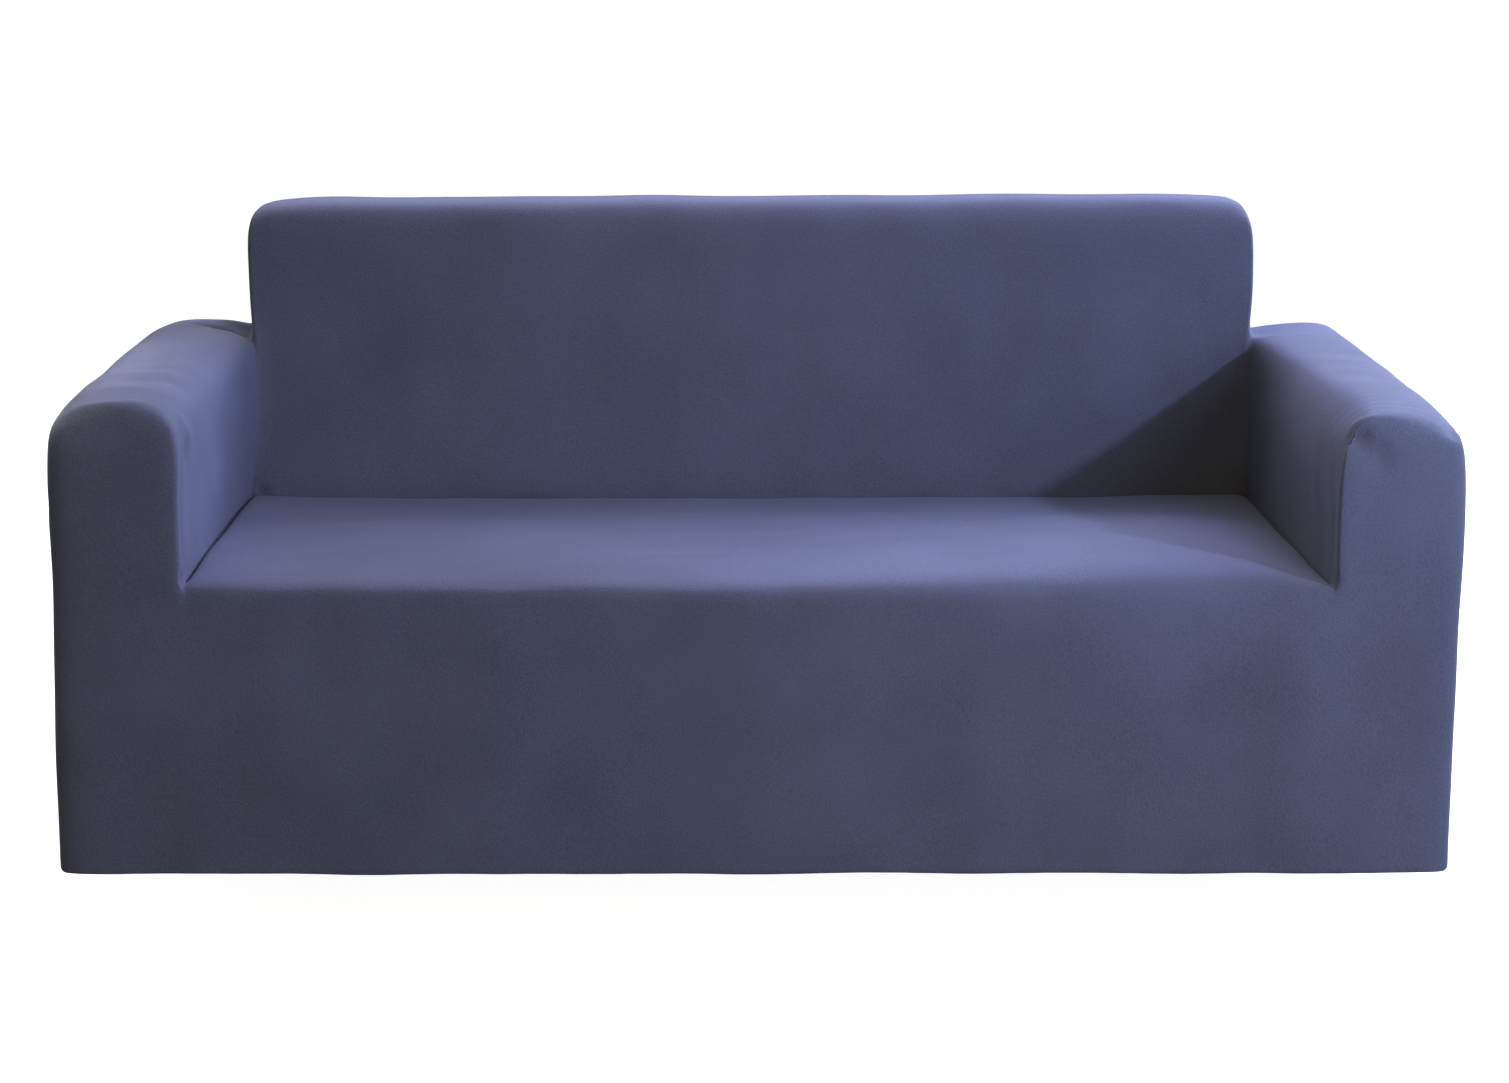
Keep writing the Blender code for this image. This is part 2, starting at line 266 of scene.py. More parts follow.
def armRolls(x, y, z):
    # how far the rolled edges of an arm lie inside its box, in x, y and z
    side = sideOf(x)
    below = form["armHeight"] - z
    fromInner, fromOuter = abs(x) - inner(x), outer - abs(x)
    onInner, onTop = fromInner < near, below < near
    roll = Vector((0, 0, 0))
    share = form["innerAtFront"][side]
    share += (1 - share) * smoothStep(y / form["innerFull"])
    share *= 1 - (1 - form["innerAtRear"][side]) * min(y / form["innerEnd"], 1.0)
    share *= smoothStep((form["innerEnd"] - y) / form["innerFade"])
    if onInner or onTop:
        along = fromInner if onTop else -below
        inwards, up = arcShift(along, form["innerReach"][side], form["innerFall"][side])
        roll += Vector((side * inwards, 0, up)) * share
    outward = form["frontAtInner"][side]
    outward += (1 - outward) * smoothStep(fromInner / (outer - inner(x)))
    if y < near or onTop:
        inwards, up = arcShift(y if onTop else -below, form["frontRadius"][side])
        roll += Vector((0, inwards, up)) * outward
    if onTop:
        roll.z -= form["frontDrop"][side] * smoothStep(1 - y / form["frontDropReach"]) * outward
    toFront = smoothStep(1 - y / form["cornerRollLength"])
    if fromOuter < near:
        roll.x -= side * form["cornerRoll"][side] * smoothStep(1 - below / form["cornerRollReach"]) * toFront
    if onTop:
        roll.z -= form["cornerDrop"][side] * smoothStep(1 - fromOuter / form["cornerDropReach"]) * toFront
    return roll


def seatRollShift(x, y, z):
    # widens the seat's front roll towards the right arm
    below = form["seatHeight"] - z
    onFront, onTop = y < near, abs(below) < near
    if below < -near or not (onFront or onTop):
        return Vector((0, 0, 0))
    radius = form["seatRoll"] * smoothStep((x - form["seatRollStart"]) / form["seatRollGrowth"])
    radius *= smoothStep((inner(x) - x) / form["seatRollEnd"])
    if radius < near:
        return Vector((0, 0, 0))
    inwards, up = arcShift(y if onTop else -below, radius)
    return Vector((0, inwards, up))


def joinShift(x, y, z):
    # rounds the hollow corner where an arm's inner side meets the back
    fromArm, fromBack = inner(x) - abs(x), form["seatDepth"] - y
    onArm, onBack = abs(fromArm) < near, abs(fromBack) < near
    atJoin = form["seatHeight"] + near < z < form["armHeight"] + near
    if not atJoin or not (onArm or onBack) or fromArm < -near or fromBack < -near:
        return Vector((0, 0, 0))
    inwards, forwards = arcShift(fromArm if onBack else -fromBack, form["joinRadius"])
    return Vector((-sideOf(x) * inwards, forwards, 0))


def backCornerShift(x, z):
    # rounds the back's two top corners as they are seen from the front
    fromSide, below = inner(x) - abs(x), form["backHeight"] - z
    atSide, atTop = abs(fromSide) < near, below < near
    if z < form["armHeight"] + near or not (atSide or atTop):
        return Vector((0, 0, 0))
    inwards, up = arcShift(fromSide if atTop else -below, form["backCorner"])
    return Vector((-sideOf(x) * inwards, 0, up))


def pulledIn(point, x, y, z):
    side = sideOf(x)
    atOuter = abs(x) > outer - near
    overArm = abs(x) > inner(x) - near
    atArmTop = abs(z - form["armHeight"]) < near and overArm
    atFront = y < near
    atBackTop = z > form["backHeight"] - near
    top, corner = form["armTopPull"], form["armCornerPull"]
    if atArmTop and atOuter:
        point += Vector((-side * top, 0, -top))
    if atFront and atOuter:
        point += Vector((-side * corner, corner, 0))
    if y > depth - near and atOuter:
        point += Vector((-side * form["rearPull"], -form["rearPull"], 0))
    point += backCornerShift(x, z) + joinShift(x, y, z)
    if abs(y - form["seatDepth"]) < near and z > form["armHeight"] + form["armSoft"] + near:
        edge = between(form["backEdgePull"], x)
        point += Vector((0, edge, -edge)) if atBackTop else Vector((0, form["backShoulderPull"], 0))
    if abs(z - form["seatHeight"]) < near and not overArm and atFront:
        edge = between(form["seatFrontPull"], x)
        point += Vector((0, edge, -edge))
    if not overArm:
        point += seatRollShift(x, y, z)
    atSeatSide = abs(abs(x) - inner(x) + form["tuckWidth"]) < near
    if abs(z - form["seatHeight"]) < near and atSeatSide and abs(y - seatRear) < near:
        corner = form["seatCornerPull"][side]
        point += Vector((-side * corner, -corner, 0))
    if overArm and form["seatHeight"] < z < form["armHeight"] + near:
        point += armRolls(x, y, z)
    return point


def stuffed(x, y, z):
    seatHeight, armHeight, backHeight = form["seatHeight"], form["armHeight"], form["backHeight"]
    overArm = abs(x) > inner(x) - near
    point = Vector((x, y, z))
    if seatRear - form["seatSoft"] - near < y < rearSoftY - near and z > seatHeight + near:
        point.y += (z - seatHeight) * tan(form["backLean"])
    if abs(z - seatHeight) < near and not overArm and y < form["seatDepth"] - near:
        point.z += seatOffset(x, y)
    if abs(z - armHeight) < near and overArm:
        fromMiddle = (abs(x) - (inner(x) + outer) / 2) * 2 / (outer - inner(x))
        toRear = smoothStep((y - form["armRearDropStart"]) / form["armRearDropGrowth"])
        rearDrop = form["armRearDrop"][sideOf(x)] * toRear
        crown = form["armCrown"] * (1 - fromMiddle ** 2)
        point.z += crown - pleatDrop(x, point.y) - armSlump(x, y) - rearDrop
    if abs(y - form["seatDepth"]) < near and seatHeight < z < backHeight - near and not overArm:
        up = (z - seatHeight) / (backHeight - seatHeight)
        point.y -= form["backCrown"] * (1 - (x / inner(x)) ** 2) * sin(pi * up) ** 0.5
    if z > armHeight + near:
        point.z += form["backRiseRight"] * smoothStep(0.5 + x / (2 * outer))
        if overArm:
            up = (z - armHeight) / (backHeight - armHeight)
            bulge = form["backBulge"][sideOf(x)]
            point.x += bulge if x > 0 else -bulge - form["backSpreadLeft"] * up
    point.x *= 1 - form["skirtDrawIn"][sideOf(x)] / outer * (1 - smoothStep(z / armHeight))
    return pulledIn(point, x, y, z)


panelNames = ["front_and_seat", "arm_left", "arm_right", "back", "rear"]


def panelOf(axis, side, x, y, z):
    arm = "arm_right" if x > 0 else "arm_left"
    if axis == 0:
        if abs(x) > inner(x) - near and z < form["armHeight"]:
            return arm
        return "back" if z > form["seatHeight"] else "front_and_seat"
    if axis == 1 and side < 0:
        return "front_and_seat" if y < form["tuckStart"] else "back"
    if axis == 1:
        return "rear" if y > depth - near else "front_and_seat"
    if side > 0:
        if abs(x) > inner(x):
            return arm
        return "back" if z > form["seatHeight"] + near else "front_and_seat"
    if y < form["tuckStart"]:
        return "front_and_seat"
    return "rear" if y > rearSoftY else arm


# The knit's own coordinates: wales run up the front and on over the seat, so v follows the
# cloth's length and u its width, both in metres
def knitPlace(axis, side, x, y, z):
    if axis == 1:
        return x, z
    if axis == 0:
        return y, z + 2 * outer
    if side < 0:
        return x, -y
    if z < form["seatHeight"] + near:
        return x, form["seatHeight"] + y
    if z < form["armHeight"] + near:
        return y, form["armHeight"] + 2 * outer + abs(x) - inner(x)
    return x, form["backHeight"] + y - form["seatDepth"]


def edgeCrease(a, b):
    def both(test):
        return test(a) and test(b)

    atOuter = both(lambda p: abs(p.x) > outer - near)
    atFront = both(lambda p: p.y < near)
    atRear = both(lambda p: p.y > depth - near)
    if both(lambda p: p.z < near) and (atFront or atRear or atOuter):
        return form["hemCrease"]
    if atFront and both(lambda p: abs(abs(p.x) - inner(p.x)) < near and p.z > form["seatHeight"] - near):
        return form["armInnerCrease"][sideOf(a.x)]
    if atRear and atOuter:
        return form["rearCrease"]
    return 0.0


def buildCage():
    lines = cageLines()
    middles = [[(a + b) / 2 for a, b in zip(line, line[1:])] for line in lines]
    beyond = [[line[0] - 1] + middle + [line[-1] + 1] for line, middle in zip(lines, middles)]
    cage = bmesh.new()
    knit = cage.loops.layers.uv.new("knit")
    corners, plain = {}, {}

    def corner(index):
        if index not in corners:
            place = [lines[axis][index[axis]] for axis in range(3)]
            corners[index] = cage.verts.new(stuffed(*place))
            plain[corners[index]] = Vector(place)
        return corners[index]

    def addFace(cell, axis, side, middle):
        u, v = (axis + 1) % 3, (axis + 2) % 3
        ring = []
        for du, dv in ((0, 0), (1, 0), (1, 1), (0, 1)):
            index = list(cell)
            index[axis] += side > 0
            index[u] += du
            index[v] += dv
            ring.append(corner(tuple(index)))
        if side < 0:
            ring.reverse()
        face = cage.faces.new(ring)
        face.material_index = panelNames.index(panelOf(axis, side, *middle))
        for loop in face.loops:
            place = plain[loop.vert]
            level = middle[2] if axis == 2 else place.z
            loop[knit].uv = knitPlace(axis, side, place.x, place.y, level)

    for i, x in enumerate(middles[0]):
        for j, y in enumerate(middles[1]):
            for k, z in enumerate(middles[2]):
                if not isFilled(x, y, z):
                    continue
                underBase = k == 0 and abs(x) < outer - form["armSoft"] and form["tuckStart"] < y < rearSoftY
                for axis in range(3):
                    for side in (-1, 1):
                        cell, beside = (i, j, k), [x, y, z]
                        beside[axis] = beyond[axis][cell[axis] + 1 + side]
                        if isFilled(*beside) or (underBase and axis == 2 and side < 0):
                            continue
                        middle = [x, y, z]
                        middle[axis] = lines[axis][cell[axis] + (side > 0)]
                        addFace(cell, axis, side, middle)
    crease = cage.edges.layers.float.new("crease_edge")
    for edge in cage.edges:
        edge[crease] = edgeCrease(plain[edge.verts[0]], plain[edge.verts[1]])
    return cage


def addObject(name, data):
    made = bpy.data.objects.new(name, data)
    bpy.context.collection.objects.link(made)
    return made


def plainMesh(guide):
    # the mesh that the guide's modifier makes; the guide itself goes
    evaluated = guide.evaluated_get(bpy.context.evaluated_depsgraph_get())
    mesh = bpy.data.meshes.new_from_object(evaluated)
    bpy.data.objects.remove(guide, do_unlink=True)
    return mesh


def roundedSkin():
    cage = buildCage()
    mesh = bpy.data.meshes.new("cage")
    cage.to_mesh(mesh)
    cage.free()
    guide = addObject("cage", mesh)
    rounding = guide.modifiers.new("rounding", "SUBSURF")
    rounding.levels = form["rounding"]
    rounding.render_levels = form["rounding"]
    return plainMesh(guide)


# Soft folds, a ridge (rise > 0) or a trough (rise < 0) along a short path over the cloth, in metres.
# width is the profile's half width; a fold shows only where the cloth faces the way that is named.
facings = {"up": (0, 0, 1), "front": (0, -1, 0), "right": (1, 0, 0), "left": (-1, 0, 0)}
folds = [
    # facing, width, rise, path
    # left arm
    ("up", 0.022, 0.0026, [(-0.79, -0.2, 0.56), (-0.74, -0.19, 0.565), (-0.685, -0.16, 0.556)]),
    ("up", 0.016, -0.0026, [(-0.78, -0.25, 0.56), (-0.73, -0.24, 0.563), (-0.68, -0.215, 0.552)]),
    ("up", 0.018, 0.0022, [(-0.81, -0.318, 0.558), (-0.755, -0.308, 0.562), (-0.7, -0.3, 0.552)]),
    ("up", 0.03, -0.0016, [(-0.79, -0.09, 0.56), (-0.73, -0.06, 0.563), (-0.69, 0.02, 0.552)]),
    ("up", 0.03, 0.0014, [(-0.79, 0.02, 0.56), (-0.73, 0.05, 0.563), (-0.69, 0.11, 0.552)]),
    ("front", 0.022, -0.0022, [(-0.8, -0.4, 0.52), (-0.755, -0.403, 0.532), (-0.7, -0.404, 0.524)]),
    (None, 0.01, 0.0022, [(-0.8, -0.384, 0.545), (-0.754, -0.382, 0.556), (-0.7, -0.378, 0.551)]),
    (None, 0.014, 0.003, [(-0.684, -0.35, 0.535), (-0.674, -0.33, 0.515), (-0.672, -0.29, 0.5)]),
    ("right", 0.009, -0.005, [(-0.671, -0.325, 0.512), (-0.671, -0.345, 0.476)]),
    ("right", 0.026, -0.003, [(-0.671, 0.12, 0.51), (-0.67, -0.003, 0.49), (-0.67, -0.15, 0.44)]),
    ("right", 0.03, 0.002, [(-0.671, 0.0, 0.44), (-0.67, -0.12, 0.41), (-0.67, -0.25, 0.38)]),
    (None, 0.0055, 0.0012, [(-0.674, -0.39, 0.52), (-0.672, -0.405, 0.448), (-0.673, -0.405, 0.352)]),
    ("right", 0.008, -0.0026, [(-0.671, -0.374, 0.505), (-0.669, -0.386, 0.448), (-0.669, -0.388, 0.362)]),
    (None, 0.004, -0.0035, [(-0.668, -0.4, 0.346), (-0.668, -0.396, 0.364)]),
    (None, 0.012, 0.003, [(-0.735, 0.378, 0.56), (-0.7, 0.378, 0.556), (-0.674, 0.376, 0.548)]),
    ("up", 0.016, -0.01, [(-0.77, 0.335, 0.56), (-0.715, 0.325, 0.552), (-0.66, 0.305, 0.545)]),
    ("up", 0.014, 0.0026, [(-0.78, 0.29, 0.562), (-0.727, 0.27, 0.558), (-0.675, 0.225, 0.55)]),
    ("left", 0.006, -0.0016, [(-0.826, -0.385, 0.452), (-0.826, -0.385, 0.428)]),
    # right arm
    (None, 0.01, 0.0034, [(0.678, -0.366, 0.534), (0.692, -0.39, 0.54), (0.716, -0.397, 0.546)]),
    (None, 0.012, -0.008, [(0.676, -0.396, 0.528), (0.69, -0.403, 0.52), (0.706, -0.405, 0.515)]),
    ("front", 0.014, -0.004, [(0.704, -0.406, 0.503), (0.728, -0.406, 0.489)]),
    ("left", 0.045, 0.004, [(0.672, -0.33, 0.465), (0.671, -0.2, 0.47), (0.671, -0.02, 0.48)]),
    ("left", 0.01, -0.0024, [(0.672, -0.35, 0.5), (0.671, -0.376, 0.44), (0.671, -0.384, 0.362)]),
    ("left", 0.018, 0.002, [(0.672, -0.25, 0.49), (0.671, -0.27, 0.43), (0.671, -0.29, 0.372)]),
    ("front", 0.012, 0.0012, [(0.692, -0.406, 0.49), (0.688, -0.406, 0.44), (0.684, -0.406, 0.362)]),
    ("front", 0.005, -0.0018, [(0.676, -0.406, 0.351), (0.706, -0.407, 0.358), (0.742, -0.407, 0.366)]),
    ("front", 0.005, -0.0014, [(0.68, -0.406, 0.356), (0.7, -0.407, 0.372), (0.72, -0.407, 0.392)]),
    ("up", 0.03, -0.0018, [(0.81, -0.12, 0.556), (0.745, -0.1, 0.564), (0.69, -0.06, 0.56)]),
    ("up", 0.028, 0.0018, [(0.81, 0.01, 0.56), (0.745, 0.03, 0.566), (0.69, 0.07, 0.562)]),
    # seat
    ("up", 0.045, 0.0018, [(-0.3, -0.06, 0.358), (0.0, 0.02, 0.36), (0.326, 0.115, 0.358)]),
    ("up", 0.04, -0.0018, [(-0.15, -0.15, 0.36), (0.18, -0.08, 0.361), (0.42, -0.01, 0.36)]),
    ("up", 0.035, 0.0014, [(-0.1, -0.24, 0.358), (0.2, -0.19, 0.36), (0.5, -0.12, 0.36)]),
    ("up", 0.008, 0.0007, [(-0.16, -0.276, 0.356), (-0.07, -0.262, 0.357), (0.01, -0.264, 0.356)]),
    ("up", 0.03, -0.0012, [(-0.6, -0.05, 0.352), (-0.45, 0.02, 0.356), (-0.3, 0.06, 0.358)]),
    (None, 0.005, -0.004, [(-0.655, 0.206, 0.35), (-0.646, 0.216, 0.358)]),
    # back
    ("front", 0.05, -0.0016, [(0.29, 0.312, 0.72), (0.24, 0.27, 0.58), (0.2, 0.222, 0.408)]),
    ("front", 0.06, 0.0014, [(-0.25, 0.3, 0.7), (-0.235, 0.262, 0.56), (-0.22, 0.225, 0.41)]),
    ("front", 0.03, -0.0014, [(-0.64, 0.262, 0.56), (-0.63, 0.236, 0.47), (-0.64, 0.22, 0.37)]),
    # skirt
    ("front", 0.035, -0.0016, [(0.571, -0.407, 0.33), (0.56, -0.408, 0.18), (0.58, -0.408, 0.03)]),
    ("front", 0.045, 0.0012, [(0.48, -0.408, 0.32), (0.47, -0.408, 0.17), (0.49, -0.408, 0.03)]),
    ("front", 0.06, -0.0014, [(-0.42, -0.408, 0.3), (-0.43, -0.408, 0.16), (-0.41, -0.408, 0.03)]),
]
laying = {
    "parts": 5,              # each stretch of a path is cut into these before it is laid on the cloth
    "closest": 0.002,        # laid points nearer than this are dropped
    "atEnds": 0.25,          # share of a fold's height that is left at its ends
    "turning": 2,            # how soon a fold fades where the cloth turns away from its facing
}
ripples = {
    # fine arcs across the right arm's top, pulled towards its front inner corner
    "centre": (0.715, -0.640),
    "nearest": 0.250,
    "farthest": 0.440,
    "pitch": 0.029,
    "rise": 0.0005,
    "overSeat": 0.1,         # only higher than this over the seat
}
waves = {
    # faint unevenness of the stuffing under all of the cloth
    "rise": 0.0009,
    "seed": 4,
    "count": 18,
    "shortest": 0.10,
    "longest": 0.45,
    "hangRise": 0.0009,      # vertical shades of the back, skirt and rear
    "hangCount": 9,
    "hangShortest": 0.09,
    "hangLongest": 0.40,
    "hangSlant": 0.15,
    "hangUpright": 0.6,      # they show only where the cloth stands at least this upright
    "calmDepth": 0.008,      # no waves down in the crease round the seat
    "calmSide": 0.1,
    "calmRear": 0.03,
}
seams = {
    "dip": 0.0006,           # the cloth drawn in along the seams beside the rear panel
    "dipWidth": 0.004,
    "pucker": 0.0016,        # waves of the turned-in hem at its inner edge
    "puckerPitch": 0.045,
    "puckerTop": 0.006,      # the hem's turned-in part lies below this
}


def placeTree(places):
    tree = kdtree.KDTree(len(places))
    for index, place in enumerate(places):
        tree.insert(place, index)
    tree.balance()
    return tree


def placeAlong(places, path):
    away = np.full(len(places), np.inf)
    along = np.zeros(len(places))
    path = np.array(path, float)
    lengths = np.linalg.norm(np.diff(path, axis=0), axis=1)
    done = 0.0
    for a, b, length in zip(path, path[1:], lengths):
        t = np.clip((places - a) @ (b - a) / length ** 2, 0, 1)
        gap = np.linalg.norm(places - a - t[:, None] * (b - a), axis=1)
        closer = gap < away
        away[closer] = gap[closer]
        along[closer] = (done + t * length)[closer] / lengths.sum()
        done += length
    return away, along


def laidOn(tree, path):
    laid = [tree.find(path[0])[0]]
    for a, b in zip(path, path[1:]):
        steps = [Vector(a).lerp(Vector(b), (i + 1) / laying["parts"]) for i in range(laying["parts"])]
        laid += [tree.find(step)[0] for step in steps]
    kept = [laid[0]]
    for place in laid[1:]:
        if (place - kept[-1]).length > laying["closest"]:
            kept.append(place)
    return kept


def foldRise(places, normals):
    rise = np.zeros(len(places))
    tree = placeTree(places)
    for facing, width, height, path in folds:
        away, along = placeAlong(places, laidOn(tree, path))
        ends = laying["atEnds"] + (1 - laying["atEnds"]) * np.sin(pi * along)
        shown = 1.0
        if facing is not None:
            shown = smoothStep(laying["turning"] * normals @ np.array(facings[facing], float))
        rise += height * ends * shown * np.exp(-(away / width) ** 2)
    return rise


def rippleRise(places, normals):
    radius = np.hypot(places[:, 0] - ripples["centre"][0], places[:, 1] - ripples["centre"][1])
    span = ripples["farthest"] - ripples["nearest"]
    t = np.clip((radius - ripples["nearest"]) / span, 0, 1)
    onArm = (places[:, 0] > inner(1)) * (places[:, 2] > form["seatHeight"] + ripples["overSeat"])
    shown = smoothStep(laying["turning"] * normals[:, 2]) * onArm
    return ripples["rise"] * np.sin(2 * pi * radius / ripples["pitch"]) * np.sin(pi * t) * shown


def insideTuck(places):
    x, y, z = places[:, 0], places[:, 1] + depth / 2, places[:, 2]
    deep = smoothStep((form["seatHeight"] - z) / waves["calmDepth"])
    behindFront, beforeRear = y > form["tuckStart"], y < form["seatDepth"] + waves["calmRear"]
    return deep * (np.abs(x) < outer - waves["calmSide"]) * behindFront * beforeRear


def waveRise(places, normals):
    draw = np.random.default_rng(waves["seed"])
    total = np.zeros(len(places))
    for _ in range(waves["count"]):
        direction = draw.normal(size=3)
        direction /= np.linalg.norm(direction)
        length = draw.uniform(waves["shortest"], waves["longest"])
        total += np.sin(places @ direction * 2 * pi / length + draw.uniform(0, 2 * pi))
    total *= waves["rise"] / waves["count"] ** 0.5
    hang = np.zeros(len(places))
    for _ in range(waves["hangCount"]):
        length = draw.uniform(waves["hangShortest"], waves["hangLongest"])
        slant = draw.uniform(-waves["hangSlant"], waves["hangSlant"])
        across = places[:, 0] + slant * places[:, 2]
        hang += np.sin(across * 2 * pi / length + draw.uniform(0, 2 * pi))
    upright = smoothStep(laying["turning"] * np.abs(normals[:, 1]) - waves["hangUpright"])
    total += hang * upright * waves["hangRise"] / waves["hangCount"] ** 0.5
    return total * (1 - insideTuck(places))


def readVectors(rows, what):
    flat = np.empty(len(rows) * 3)
    rows.foreach_get(what, flat)
    return flat.reshape(-1, 3)


def faceTable(mesh):
    corners = np.empty(len(mesh.loops), int)
    mesh.loops.foreach_get("vertex_index", corners)
    panel = np.empty(len(mesh.polygons), int)
    mesh.polygons.foreach_get("material_index", panel)
    knit = np.empty(len(mesh.loops) * 2)
    mesh.uv_layers["knit"].data.foreach_get("uv", knit)
    return corners.reshape(-1, 4), panel, knit.reshape(-1, 4, 2)


skin = roundedSkin()
points = readVectors(skin.vertices, "co")
low, high = points.min(0), points.max(0)
points = (points - (low + high) / 2) * np.array(cadSize) / (high - low) + np.array((cadLow + cadHigh) / 2)
skin.vertices.foreach_set("co", points.ravel())
skin.update()
skinFaces, skinPanels, skinKnit = faceTable(skin)


def borderEdges(faces, keys):
    # directed edges of faces whose other side has another key, or no face at all
    starts, ends = faces.ravel(), np.roll(faces, -1, axis=1).ravel()
    owner = dict(zip(zip(starts.tolist(), ends.tolist()), np.repeat(keys, 4).tolist()))
    edges = [(a, b, own, owner.get((b, a), -1)) for (a, b), own in owner.items()]
    return [edge for edge in edges if edge[2] != edge[3]]


def nearestDistance(places, targets):
    tree = placeTree(targets)
    return np.array([tree.find(place)[2] for place in places])


rearIndex = panelNames.index("rear")
skinBorders = borderEdges(skinFaces, skinPanels)
rearEdges = [(a, b) for a, b, own, other in skinBorders if own == rearIndex and other >= 0]
hemEdges = [(a, b) for a, b, own, other in skinBorders if other < 0]
rearSeam, hemRim = [sorted({a for a, b in edges}) for edges in (rearEdges, hemEdges)]
seamDistance = nearestDistance(points, points[rearSeam])


def seamRise():
    return -seams["dip"] * np.exp(-(seamDistance / seams["dipWidth"]) ** 2)


def hemRise():
    turned = points[:, 2] < seams["puckerTop"]
    inwards = np.clip(1 - nearestDistance(points, points[hemRim]) / form["hemTurn"], 0, 1)
    around = points[:, 0] + points[:, 1]
    return seams["pucker"] * turned * inwards ** 2 * np.sin(2 * pi * around / seams["puckerPitch"])


flatNormals = readVectors(skin.vertex_normals, "vector")
points += flatNormals * (
    foldRise(points, flatNormals) + rippleRise(points, flatNormals) + waveRise(points, flatNormals)
    + seamRise() + hemRise()
)[:, None]
skin.vertices.foreach_set("co", points.ravel())
skin.update()
skinNormals = readVectors(skin.vertex_normals, "vector")
print("skin rounded and folded:", len(skin.vertices), "points")

cloth = {"thickness": 0.0012}    # drawn as a closed shell, inwards from the skin
tiny = 1e-12


def cutPanel(name):
    picked = skinPanels == panelNames.index(name)
    faces, knit = skinFaces[picked], skinKnit[picked]
    used, faces = np.unique(faces, return_inverse=True)
    faces = faces.reshape(-1, 4)
    outside, normal = points[used], skinNormals[used]
    rim = [(a, b) for a, b, own, other in borderEdges(faces, np.zeros(len(faces), int))]
    inside = outside - normal * cloth["thickness"]
    count = len(used)
    rimFaces = np.array([(b, a, a + count, b + count) for a, b in rim])
    allFaces = np.concatenate([faces, faces[:, ::-1] + count, rimFaces])
    allKnit = np.concatenate([knit, knit[:, ::-1], np.zeros((len(rim), 4, 2))])
    mesh = bpy.data.meshes.new(name + "_knit")
    mesh.from_pydata(np.concatenate([outside, inside]).tolist(), [], allFaces.tolist())
    mesh.uv_layers.new(name="knit").data.foreach_set("uv", allKnit.ravel())
    rimNormals = np.repeat(np.cross(outside[rimFaces[:, 1]] - outside[rimFaces[:, 0]],
                                    inside[rimFaces[:, 1]] - outside[rimFaces[:, 1]]), 4, axis=0)
    rimNormals /= np.maximum(np.linalg.norm(rimNormals, axis=1, keepdims=True), tiny)
    loopNormals = np.concatenate([normal[faces.ravel()], -normal[faces[:, ::-1].ravel()], rimNormals])
    toSeam = np.tile(seamDistance[used], 2)
    mesh.attributes.new("seamDistance", "FLOAT", "POINT").data.foreach_set("value", toSeam)
    mesh.shade_smooth()
    mesh.normals_split_custom_set(loopNormals.tolist())
    return addObject(name + "_knit", mesh)


def fillInputs(tree, node, values):
    # a value is a plain one or another node's output
    for label, value in values.items():
        if isinstance(value, bpy.types.NodeSocket):
            tree.links.new(value, node.inputs[label])
        else:
            node.inputs[label].default_value = value


def addNode(tree, kind, place, values=None, **settings):
    made = tree.nodes.new(kind)
    made.location = place
    for key, value in settings.items():
        setattr(made, key, value)
    fillInputs(tree, made, values or {})
    return made


def calc(tree, operation, *values, place=(0, 0)):
    return addNode(tree, "ShaderNodeMath", place, dict(enumerate(values)), operation=operation).outputs[0]


def newGroup(name, inputs, outputs, kindOfTree="ShaderNodeTree"):
    group = bpy.data.node_groups.new(name, kindOfTree)
    for label, kind, value in inputs:
        socket = group.interface.new_socket(name=label, in_out="INPUT", socket_type="NodeSocket" + kind)
        if value is not None:
            socket.default_value = value
    for label, kind in outputs:
        group.interface.new_socket(name=label, in_out="OUTPUT", socket_type="NodeSocket" + kind)
    given = addNode(group, "NodeGroupInput", (-900, 0))
    return group, given.outputs, addNode(group, "NodeGroupOutput", (700, 0))


def placeGroup(tree, group, place, values):
    return addNode(tree, "ShaderNodeGroup", place, values, node_tree=group).outputs


def shadeColour(tree, colour, shade, place):
    shaded = addNode(tree, "ShaderNodeVectorMath", place, operation="SCALE")
    fillInputs(tree, shaded, {0: colour, "Scale": shade})
    return shaded.outputs[0]


def addBump(tree, height, distance, place, below=None):
    bump = addNode(tree, "ShaderNodeBump", place, {"Distance": distance, "Height": height})
    if below is not None:
        tree.links.new(below, bump.inputs["Normal"])
    return bump.outputs["Normal"]


def newMaterial(name):
    material = bpy.data.materials.new(name)
    material.use_nodes = True
    return material, material.node_tree, material.node_tree.nodes["Principled BSDF"]


knitPatches = {"knit_front": 0.5, "knit_arms": 0.6, "knit_back": 0.45}  # contrast of each finish
knitFinish = {
    "yarn": (0.0535, 0.062, 0.119),
    "sheenTint": (0.055, 0.0625, 0.12, 1),
    "sheenRoughness": 0.5,
    "roughness": 0.9,
    "gloss": 0.15,
    "loopDrift": 90.0,               # how often the rows of loops stray
    # painted shade in the loops' hollows: its contrast and darkest share
    "loopShade": (0.14, 0.93),       # contrast and darkest of the loops
    "loopDepth": 0.00014,
    "grainDepth": 0.0006,
    "lintColour": (0.45, 0.47, 0.55, 1),
    "lintSpacing": 11.0,             # places for a fleck in each metre
    "lintSize": 0.012,
    "lintRarity": 0.8,               # share of those places left empty
    # painted shade in the seam's groove: how much the colour darkens there
    "seamShade": -0.55,              # darker in the groove of a seam
    "seamDepth": 0.0008,
}


